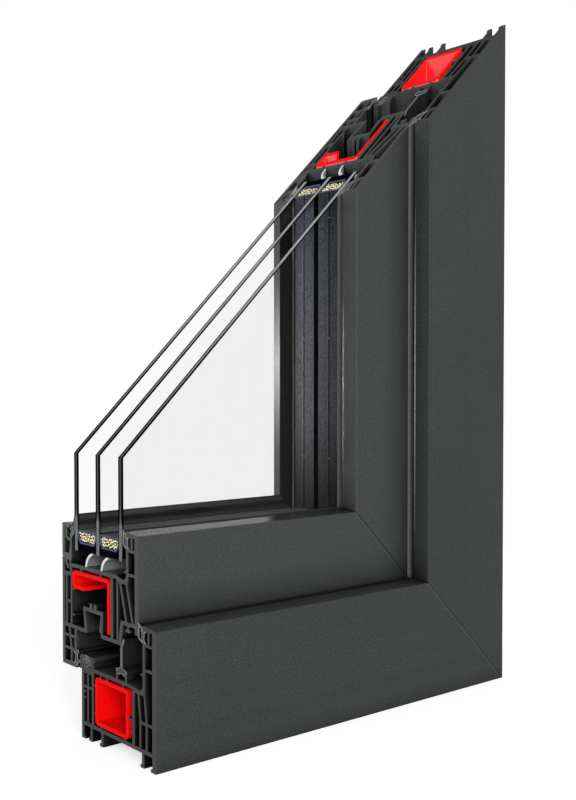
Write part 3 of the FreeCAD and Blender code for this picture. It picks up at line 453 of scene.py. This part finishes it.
SPACER_GREY = (0.0590, 0.0592, 0.0640, 1.0)
SPACER_BLUE = (0.045, 0.048, 0.060, 1.0)
SPACER_EDGE = (0.085, 0.112, 0.170, 1.0)
HOLE_TONE = (0.09, 0.09, 0.09, 1.0)
BUTYL = (0.003, 0.0033, 0.004, 1.0)
SEALANT = (0.003, 0.003, 0.0034, 1.0)
BLUER = (0.20, 0.28)            # heights over which a spacer turns from grey to a darker blue, a painted sheen lower down
CORNER_SHADE = (0.120, 0.165)   # heights over which the corner's shade on a standing spacer ends
SPACER_SHADE_DEPTHS = (-0.004, 0.017)      # depths over which painted shade on the spacers lifts, darkest on the outer one
HOLE_PITCH = 0.070              # between the breathing holes
HOLE_PHASE = 0.72               # where in that pitch the holes lie
HOLE_LENGTH = 0.014             # a hole's length as a share of that pitch
RIM_HIGHLIGHT_OFFSET = 0.0010             # from a seam to the painted highlight beside it
SEAM_BLUR = 0.00025             # width over which a seam fades

# Half widths, where it is full and where it ends, of a seam's painted highlight, of a hole, and of the dark
# line between the inner spacer and its pane
RIM_HIGHLIGHT = (0.0001, 0.0005)
HOLE = (0.0004, 0.0007)
BUTYL_LINE = (0.0010, 0.0012)

# A spacer's seam: its depth and half its width
Seam = namedtuple("Seam", "depth half_width")
SEAMS = (Seam(middle_depth("spacer_outer_rail") - 0.0005, 0.0005),
         Seam(middle_depth("spacer_inner_rail") - 0.0002, 0.0004))


def spacer_lines(g):
    """Masks of the dark seams, of the painted highlights beside them and of the holes in them."""
    phase = g.math("FRACT", g.math("MULTIPLY_ADD", g.top_difference, -1 / HOLE_PITCH, HOLE_PHASE))
    at_hole = g.math("LESS_THAN", phase, HOLE_LENGTH)
    seams, rim_highlights, holes = 0.0, 0.0, 0.0
    for seam in SEAMS:
        seam_end = seam.half_width + SEAM_BLUR
        hole = g.math("MULTIPLY", g.line(g.y, seam.depth, *HOLE), at_hole)
        seams = g.math("MAXIMUM", seams, g.line(g.y, seam.depth, seam.half_width, seam_end))
        rim_highlights = g.math("MAXIMUM", rim_highlights, g.line(g.y, seam.depth + RIM_HIGHLIGHT_OFFSET, *RIM_HIGHLIGHT))
        holes = g.math("MAXIMUM", holes, hole)
    return seams, rim_highlights, holes


def spacer_plastic():
    """Dark blue-grey composite with a fine seam and breathing holes on the face that shows."""
    g = Surface("spacer_plastic")
    speckle = g.noise(1300.0, detail=4.0, roughness=0.8)
    seams, rim_highlights, holes = spacer_lines(g)
    # painted sheen: lighter and greyer lower down
    body = g.mix(g.remap(g.z, BLUER, NONE_TO_FULL), SPACER_GREY, SPACER_BLUE)
    body = g.scale_colour(body, g.remap(speckle, (0.36, 0.64), (0.10, 1.84)))
    # painted shade: darker towards the weather side
    body = g.scale_colour(body, g.remap(g.y, SPACER_SHADE_DEPTHS, (0.44, 1.05)))
    corner = g.math("MULTIPLY", g.remap(g.z, CORNER_SHADE, (0.65, 0.0)), g.upright())
    body = g.scale_colour(body, g.math("SUBTRACT", 1.0, corner))
    body = g.scale_where(body, seams, 0.02)
    # painted highlight beside each seam
    body = g.scale_where(body, rim_highlights, 1.8)
    body = g.mix(holes, body, HOLE_TONE)
    bonded = g.math("GREATER_THAN", g.math("ABSOLUTE", g.facing_y), FACING)
    butyl = g.line(g.y, room_side("spacer_inner_rail"), *BUTYL_LINE)
    body = g.mix(g.math("MAXIMUM", butyl, bonded), body, BUTYL)
    normal = g.bump(speckle, strength=0.2, distance=0.0001)
    normal = g.bump(g.remap(seams, NONE_TO_FULL, FULL_TO_NONE), strength=0.6, distance=0.0003, under=normal)
    colour = g.mix(g.sawn(), body, SPACER_EDGE)
    return g.surface(colour, g.vary(speckle, 0.55, 0.70), normal, Specular_IOR_Level=0.04)


def sealant():
    """The black sealant between the panes' edges, a little lumpy."""
    g = Surface("edge_sealant")
    lumps = g.noise(260.0, detail=4.0)
    normal = g.bump(lumps, strength=0.4, distance=0.0004)
    return g.surface(g.mottle(SEALANT, lumps, 0.3), g.vary(lumps, 0.5, 0.7), normal, Specular_IOR_Level=0.0)


# Blades below the glass

FIN_GREY = (0.185, 0.19, 0.195, 1.0)
FIN_EDGE = (0.80, 0.81, 0.81, 1.0)


def fin_plastic():
    """Thin grey blades whose sawn edge is nearly white."""
    g = Surface("fin_plastic")
    streak = g.along(1100.0)
    body = g.mottle(FIN_GREY, streak, 0.12)
    edge = g.mottle(FIN_EDGE, g.saw_marks(), 0.06)
    normal = g.bump(streak, strength=0.15, distance=0.00005)
    return g.surface(g.mix(g.sawn(), body, edge), g.vary(streak, 0.34, 0.46), normal, Specular_IOR_Level=0.3)


# Glass

CLEAR = (0.950, 0.952, 0.951, 1.0)
GLASS_SHADE = (0.93, 0.94, 0.94, 1.0)
ARRIS_BLACK = (0.001, 0.001, 0.001, 1.0)
TOP_EDGE_LOW = (0.19, 0.19, 0.19, 1.0)
TOP_EDGE_HIGH = (0.42, 0.425, 0.42, 1.0)
LEFT_EDGE = (0.080, 0.081, 0.081, 1.0)
COVERED_EDGE = (0.19, 0.195, 0.20, 1.0)
CLIMB = (0.155, 0.245)          # heights over which a painted reflection lightens the slanting edge
COVERED = (SIGHT_LINE + 0.0019, SIGHT_LINE + 0.0059)    # heights over which the left edge leaves the rebate
LEFT_ARRIS = 0.0005             # how far an edge's look reaches round its arris, at each cut
TOP_ARRIS = 0.0006

# Half widths of the grey band between an edge's arrises: at the foot of the slanting edge, what its
# climb adds, on the left edge, and where that is covered
LOW_BAND = 0.0004
HIGH_BAND_GAIN = 0.0009
LEFT_BAND = 0.0007
COVERED_BAND = 0.0014
BAND_BLUR = (-0.0002, 0.0002)   # how the band fades across its side


def ground_edge(g):
    """A pane's edge: black arrises with a grey band between them, and a painted reflection on the slanting
    cut.
    """
    left = g.on_left_cut()
    covered = g.remap(g.z, COVERED, FULL_TO_NONE)
    climb = g.remap(g.z, CLIMB, NONE_TO_FULL)
    half_width = g.math("MULTIPLY_ADD", climb, HIGH_BAND_GAIN, LOW_BAND)
    half_width = g.math("MAXIMUM", half_width, g.math("MULTIPLY", left, LEFT_BAND))
    half_width = g.math("MAXIMUM", half_width, g.math("MULTIPLY", covered, COVERED_BAND))
    band = 0.0
    for pane in PANES:
        away = g.math("ABSOLUTE", g.math("SUBTRACT", g.y, middle_depth(pane)))
        within = g.remap(g.math("SUBTRACT", half_width, away), BAND_BLUR, NONE_TO_FULL)
        band = g.math("MAXIMUM", band, within)
    band = g.math("MULTIPLY", band, g.math("LESS_THAN", g.math("ABSOLUTE", g.facing_y), 0.5))
    streak = g.noise(900.0, detail=3.0)
    # painted reflection: the slanting edges lighter than the left ones, more so higher up
    on_top = g.mix(climb, TOP_EDGE_LOW, TOP_EDGE_HIGH)
    on_left = g.mix(covered, LEFT_EDGE, COVERED_EDGE)
    tone = g.mottle(g.mix(left, on_top, on_left), streak, 0.15)
    edge = g.add("ShaderNodeBsdfPrincipled")
    g.link(g.mix(band, ARRIS_BLACK, tone), edge.inputs["Base Color"])
    g.link(g.vary(streak, 0.3, 0.5), edge.inputs["Roughness"])
    edge.inputs["Specular IOR Level"].default_value = 0.0
    return edge.outputs[0]


def float_glass():
    """Clear glass that lets light through to the floor, with ground edges."""
    g = Surface("float_glass")
    g.surface(CLEAR, 0.0, Transmission_Weight=1.0, IOR=1.0, Coat_Weight=0.02, Coat_Roughness=0.02)
    on_face = g.math("GREATER_THAN", g.math("ABSOLUTE", g.facing_y), 0.5)
    off_left_arris = g.math("GREATER_THAN", g.x, LEFT_CUT + LEFT_ARRIS)
    off_top_arris = g.math("LESS_THAN", g.top_difference, TOP_CUT - TOP_ARRIS)
    face = g.math("MULTIPLY", on_face, g.math("MULTIPLY", off_left_arris, off_top_arris))
    glass = g.mix_shaders(face, ground_edge(g), g.shader.outputs[0])
    clear = g.add("ShaderNodeBsdfTransparent")
    clear.inputs["Color"].default_value = GLASS_SHADE
    shadow = g.math("MULTIPLY", g.add("ShaderNodeLightPath").outputs["Is Shadow Ray"], face)
    g.link(g.mix_shaders(shadow, glass, clear.outputs[0]), g.output.inputs["Surface"])
    return g.material


# Which node has which material

FRAME_POLISH = Polish(depth=weather_side("frame_jamb") + FRAME_LIP, reach=(0.0003, 0.0006),
                      height=0.19, spread=(0.015, 0.105), weight=(0.20, 0.55),
                      roughness=0.18, rounding=(-0.630, -0.769, 0.110))
SASH_POLISH = FRAME_POLISH._replace(depth=weather_side("sash_stile") + SASH_LIP, rounding=(-1.0, 0.0, 0.0))
BEAD_POLISH = Polish(depth=middle_depth("glazing_bead_stile"), reach=(0.02, 0.03),
                     height=0.196, spread=(0.0, 0.054), weight=(0.90, 1.0),
                     roughness=0.22, rounding=(-1.0, 0.0, 0.0))
BEAD_GROOVE_LIGHT = GrooveLight(across=right_side("bead_gasket_stile") + 0.0004, half_width=0.0032,
                      depth=weather_side("glazing_bead_stile"), tone=(0.39, 0.355, 0.32, 1.0))
use(foil_plastic("frame_foil", 0.58, 0.05, FRAME_POLISH), "frame_rail", "frame_jamb")
use(foil_plastic("sash_foil", 0.54, 0.14, SASH_POLISH, lip_roughness=0.15), "sash_rail", "sash_stile")
use(foil_plastic("bead_foil", 0.62, 0.34, BEAD_POLISH, lip_roughness=0.24, smooth_sides=True, worn_gloss=0.0,
                 groove_light=BEAD_GROOVE_LIGHT),
    "glazing_bead_rail", "glazing_bead_stile")

# painted shade: the lying bars' paint is a darker copy of the standing bars'
use(red_paint("red_paint_lying_shaded", 0.86, gloss=0.12, left_gloss=0.12, edge_share=0.17),
    "frame_rail_steel", "sash_rail_steel")
use(red_paint("red_paint_standing_lit", 1.0, gloss=0.34, left_gloss=1.0, edge_share=0.02),
    "frame_jamb_steel", "sash_stile_steel")

LIP_BACK = room_side("frame_jamb_outer_gasket")
LIP_SHEEN = Sheen(dark=LIP_BACK - 0.0032, bright=LIP_BACK - 0.0004, gain=2.6, lying=0.10)
GLAZING_BACK = room_side("sash_stile_glazing_gasket")
GLAZING_SHEEN = Sheen(dark=GLAZING_BACK - 0.0014, bright=GLAZING_BACK + 0.0001, gain=0.9, lying=0.40)
BEAD_SEAL_TOP = top_of("bead_gasket_rail")
use(rubber("lip_rubber", (0.040, 0.040, 0.040, 1.0), sheen=LIP_SHEEN),
    "frame_rail_outer_gasket", "frame_jamb_outer_gasket")
use(rubber("gasket_rubber", (0.013, 0.013, 0.013, 1.0)),
    "frame_rail_centre_gasket", "frame_jamb_centre_gasket",
    "frame_rail_groove_strip", "frame_jamb_groove_strip",
    "sash_rail_overlap_gasket", "sash_stile_overlap_gasket")
use(rubber("glazing_rubber", (0.096, 0.094, 0.092, 1.0), sheen=GLAZING_SHEEN),
    "sash_rail_glazing_gasket", "sash_stile_glazing_gasket")
use(rubber("bead_rubber", (0.0058, 0.0058, 0.0058, 1.0), hollow=False,
           crowns=[BEAD_SEAL_TOP - drop for drop in CROWN_DROPS]),
    "bead_gasket_rail", "bead_gasket_stile")

use(fin_plastic(), "rebate_fins_rail", "rebate_fins_stile")
use(float_glass(), *PANES)
use(spacer_plastic(),
    "spacer_outer_rail", "spacer_outer_stile", "spacer_inner_rail", "spacer_inner_stile")
use(sealant(),
    "edge_seal_outer_rail", "edge_seal_outer_stile", "edge_seal_inner_rail", "edge_seal_inner_stile")


# Desiccant: loose beads at each cut, in front of the plain filling

BEAD_RADIUS = 0.00062
BEAD_DEPTH = 0.0026             # how deep the loose beads lie
FRONT_DEPTH = 0.0009            # how deep the middles of the first layer lie
FRONT_SPACING = BEAD_RADIUS * 2.08
BACK_SPACING = BEAD_RADIUS * 1.94
WALL_CLEARANCE = BEAD_RADIUS * 0.85
SIZE_SHARE = (0.86, 1.0)        # of the radius, from bead to bead
SQUASH = (0.90, 1.0)            # of the size, along each axis
TRIES = 14000                   # beads dropped for the first layer, and again for the others
BEAD_RIM_SHADE = (0.0003, 0.0010)     # depths over which painted shade turns the beads brown
BEAD_SHADOW = (0.0006, 0.0015)  # depths over which they get lost in the dark
BEAD_GAP_SHADE = 0.0012               # about as wide as the gaps between them, which get painted shade
CREAM = (1.0, 0.84, 0.55, 1.0)
PALE_CREAM = (1.0, 0.97, 0.82, 1.0)
BROWN = (0.62, 0.36, 0.16, 1.0)
BEAD_SEEDS = {
    "desiccant_outer_rail": 11,
    "desiccant_inner_rail": 23,
    "desiccant_outer_stile": 37,
    "desiccant_inner_stile": 41,
}


def desiccant():
    """Cream grains, with painted shade: brown at their rims, darker deeper down and dark between them."""
    g = Surface("desiccant")
    tint = g.noise(620.0, detail=1.0)
    pores = g.noise(5200.0, detail=3.0)
    colour = g.mix(g.remap(tint, (0.35, 0.65), NONE_TO_FULL), CREAM, PALE_CREAM)
    colour = g.scale_colour(colour, g.vary(pores, 0.94, 1.14))
    below_top = g.math("MULTIPLY", g.math("SUBTRACT", TOP_CUT, g.top_difference), math.sqrt(0.5))
    below = g.math("MINIMUM", g.math("SUBTRACT", g.x, LEFT_CUT), below_top)
    # painted shade: brown at the beads' rims and deeper below the cut
    colour = g.mix(g.remap(below, BEAD_RIM_SHADE, NONE_TO_FULL), colour, BROWN)
    colour = g.scale_colour(colour, g.remap(below, BEAD_SHADOW, (1.0, 0.02)))
    # painted shade in the gaps between beads
    colour = g.scale_colour(colour, g.remap(g.open_air(BEAD_GAP_SHADE), (0.40, 0.80), NONE_TO_FULL))
    normal = g.bump(pores, strength=0.3, distance=0.00006)
    return g.surface(colour, g.vary(pores, 0.7, 0.9), normal, Specular_IOR_Level=0.1)


GRANULE = desiccant()


def inside(walls, point):
    """Whether a bead at this point stays inside the closed convex hollow that the walls bound."""
    return all((point - spot).dot(normal) < -WALL_CLEARANCE for spot, normal in walls)


def packed_points(walls, low, high, depth, seed):
    """Middles of beads that were dropped at random and found room, the first layer before the others."""
    chance = random.Random(seed)
    points = []
    for deepest, apart in ((FRONT_DEPTH, FRONT_SPACING), (BEAD_DEPTH, BACK_SPACING)):
        for attempt in range(TRIES):
            point = Vector([chance.uniform(low[i], high[i]) for i in range(3)])
            if depth(point) < deepest and inside(walls, point):
                if all((point - other).length > apart for other in points):
                    points.append(point)
    return points


def make_beads(node, seed):
    """Sets a node's filling back from its cut and puts loose beads in front of it."""
    source = NODES[node]
    low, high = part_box(node)
    on_top = node.endswith("stile")

    def depth(point):
        """How far below the cut a point lies."""
        if on_top:
            return (TOP_CUT - (point.z - point.x)) / math.sqrt(2)
        return point.x - LEFT_CUT

    walls = [(polygon.center.copy(), polygon.normal.copy()) for polygon in source.data.polygons]
    if on_top:
        low = Vector((low.x, low.y, high.z - (high.x - low.x) - BEAD_DEPTH * 2))
    else:
        high = Vector((low.x + BEAD_DEPTH, high.y, high.z))
    points = packed_points(walls, low, high, depth, seed)
    chance = random.Random(seed + 1)
    mesh = bmesh.new()
    mesh.from_mesh(source.data)
    for vertex in mesh.verts:
        if depth(vertex.co) < CUT_SKIN:
            if on_top:
                vertex.co.z -= BEAD_DEPTH
            else:
                vertex.co.x += BEAD_DEPTH
    for point in points:
        size = BEAD_RADIUS * chance.uniform(*SIZE_SHARE)
        made = bmesh.ops.create_icosphere(mesh, subdivisions=2, radius=size)["verts"]
        squash = Vector([chance.uniform(*SQUASH) for i in range(3)])
        for vertex in made:
            vertex.co = vertex.co * squash + point
    for face in mesh.faces:
        face.smooth = len(face.verts) == 3 and face.calc_area() < BEAD_RADIUS ** 2
    data = bpy.data.meshes.new(node + "_beads")
    mesh.to_mesh(data)
    mesh.free()
    piece = bpy.data.objects.new(node + "_beads", data)
    scene.collection.objects.link(piece)
    data.materials.append(GRANULE)
    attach(piece, "root")
    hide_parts(node)


for node, seed in BEAD_SEEDS.items():
    make_beads(node, seed)


# Floor, background, light and camera

FLOOR_HALF_SIZE = 4.0
FLOOR_TONE = (0.86, 0.86, 0.86, 1.0)
FLOOR_LIFT = 0.60               # what the floor adds where it is seen
FLOOR_FADE = (0.30, 0.60)       # distances over which the floor fades to white
SKY = (0.97, 0.985, 1.0, 1.0)
SKY_LIGHT = 0.27
LAMP_TARGET = (0.0, 0.0, 0.18)

CAMERA_PLACE = (-0.40492, -0.47322, 0.18946)
CAMERA_YAW = math.radians(39.950)
CAMERA_PITCH = math.radians(-1.439)
CAMERA_LENS = 48.81             # millimetres


def make_floor():
    """Pale matt ground that fades to white away from the sample."""
    mesh = bmesh.new()
    bmesh.ops.create_grid(mesh, x_segments=1, y_segments=1, size=FLOOR_HALF_SIZE)
    data = bpy.data.meshes.new("floor")
    mesh.to_mesh(data)
    mesh.free()
    floor = bpy.data.objects.new("floor", data)
    scene.collection.objects.link(floor)
    g = Surface("floor")
    seen = g.seen_ray()
    g.surface(FLOOR_TONE, 0.9, Specular_IOR_Level=0.1, Emission_Color=WHITE)
    g.link(g.math("MULTIPLY", seen, FLOOR_LIFT), g.shader.inputs["Emission Strength"])
    away = g.add("ShaderNodeVectorMath", operation="LENGTH")
    g.link(g.coords, away.inputs[0])
    fade = g.math("MULTIPLY", seen, g.remap(away.outputs["Value"], FLOOR_FADE, NONE_TO_FULL))
    white = g.add("ShaderNodeEmission")
    ground = g.mix_shaders(fade, g.shader.outputs[0], white.outputs[0])
    g.link(ground, g.output.inputs["Surface"])
    data.materials.append(g.material)


def make_world():
    """White where it is seen, and plainer as a light."""
    world = bpy.data.worlds.new("studio")
    scene.world = world
    world.use_nodes = True
    g = Graph(world.node_tree)
    light = g.tree.nodes["Background"]
    white = g.add("ShaderNodeBackground")
    for background, colour, strength in ((light, SKY, SKY_LIGHT), (white, WHITE, 1.0)):
        background.inputs["Color"].default_value = colour
        background.inputs["Strength"].default_value = strength
    both = g.mix_shaders(g.seen_ray(), light.outputs[0], white.outputs[0])
    g.link(both, g.tree.nodes["World Output"].inputs["Surface"])


def aim(item, target):
    """Turns a lamp or a camera to look at a target."""
    item.rotation_mode = "QUATERNION"
    item.rotation_quaternion = (Vector(target) - item.location).to_track_quat("-Z", "Y")


def make_lamp(name, place, size, power):
    """A round lamp that looks at the middle of the sample."""
    data = bpy.data.lights.new(name, "AREA")
    data.shape = "DISK"
    data.size = size
    data.energy = power
    lamp = bpy.data.objects.new(name, data)
    scene.collection.objects.link(lamp)
    lamp.location = place
    aim(lamp, LAMP_TARGET)


def make_camera():
    """The photograph's own view, found by fitting the sample's edges to it."""
    data = bpy.data.cameras.new("camera")
    camera = bpy.data.objects.new("camera", data)
    scene.collection.objects.link(camera)
    camera.location = CAMERA_PLACE
    level = math.cos(CAMERA_PITCH)
    ahead = Vector((math.sin(CAMERA_YAW) * level, math.cos(CAMERA_YAW) * level, math.sin(CAMERA_PITCH)))
    aim(camera, camera.location + ahead)
    data.lens = CAMERA_LENS
    data.clip_start = 0.01
    data.clip_end = 50.0
    scene.camera = camera


make_floor()
make_world()
make_lamp("key", place=(-1.00, -1.75, 0.62), size=1.1, power=38.5)
make_lamp("fill", place=(1.70, -0.20, 0.70), size=1.2, power=3.0)
make_lamp("back", place=(-1.06, 1.20, 0.20), size=0.35, power=4.0)
make_camera()
scene.view_settings.view_transform = "Standard"
